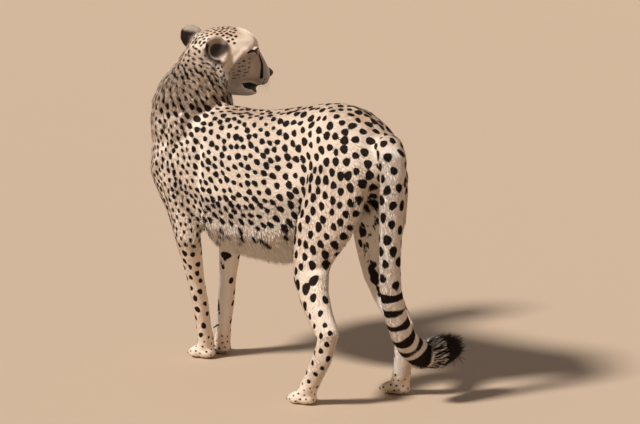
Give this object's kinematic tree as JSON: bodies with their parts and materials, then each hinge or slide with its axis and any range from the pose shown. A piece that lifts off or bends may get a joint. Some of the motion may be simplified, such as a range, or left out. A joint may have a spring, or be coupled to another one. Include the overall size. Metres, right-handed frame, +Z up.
{
  "type": "cheetah",
  "caption": "Still, life-size cheetah that stands on its four paws and looks back over its right side, with its tail hanging and the tip curled.",
  "frame": {"origin": "on the floor, under the middle of the animal's box", "axes": "+Z up, the trunk runs along Y with the breast towards -Y and the tail towards +Y, the animal's left side towards +X"},
  "size_m": [0.4344, 1.0038, 0.9436],
  "materials": {
    "coat": "short tawny coat with solid black-brown spots, paler below",
    "coat_pale": "short off-white coat",
    "coat_dark": "short black-brown coat with a tawny rim",
    "nose_leather": "finely pebbled, slightly moist",
    "eye": "amber iris with a round pupil under a clear glossy front",
    "claw": "dark horn, worn blunt"
  },
  "bodies": {
    "root": {"head": "coat", "jaw": "coat_pale", "nose": "nose_leather", "eye_right": "eye", "ear_right": "coat_dark", "eye_left": "eye", "ear_left": "coat_dark", "neck": "coat", "trunk_chest": "coat", "trunk_loins": "coat", "tail_upper": "coat", "tail_middle": "coat", "tail_lower": "coat", "tail_tip": "coat", "leg_fore_left_upper": "coat", "leg_fore_left_lower": "coat", "paw_fore_left": "coat_pale", "claw_fore_left_1": "claw", "claw_fore_left_2": "claw", "claw_fore_left_3": "claw", "claw_fore_left_4": "claw", "dewclaw_fore_left": "claw", "leg_fore_right_upper": "coat", "leg_fore_right_lower": "coat", "paw_fore_right": "coat_pale", "claw_fore_right_1": "claw", "claw_fore_right_2": "claw", "claw_fore_right_3": "claw", "claw_fore_right_4": "claw", "dewclaw_fore_right": "claw", "leg_hind_left_upper": "coat", "leg_hind_left_lower": "coat", "paw_hind_left": "coat_pale", "claw_hind_left_1": "claw", "claw_hind_left_2": "claw", "claw_hind_left_3": "claw", "claw_hind_left_4": "claw", "leg_hind_right_upper": "coat", "leg_hind_right_lower": "coat", "paw_hind_right": "coat_pale", "claw_hind_right_1": "claw", "claw_hind_right_2": "claw", "claw_hind_right_3": "claw", "claw_hind_right_4": "claw"}
  },
  "joints": []
}
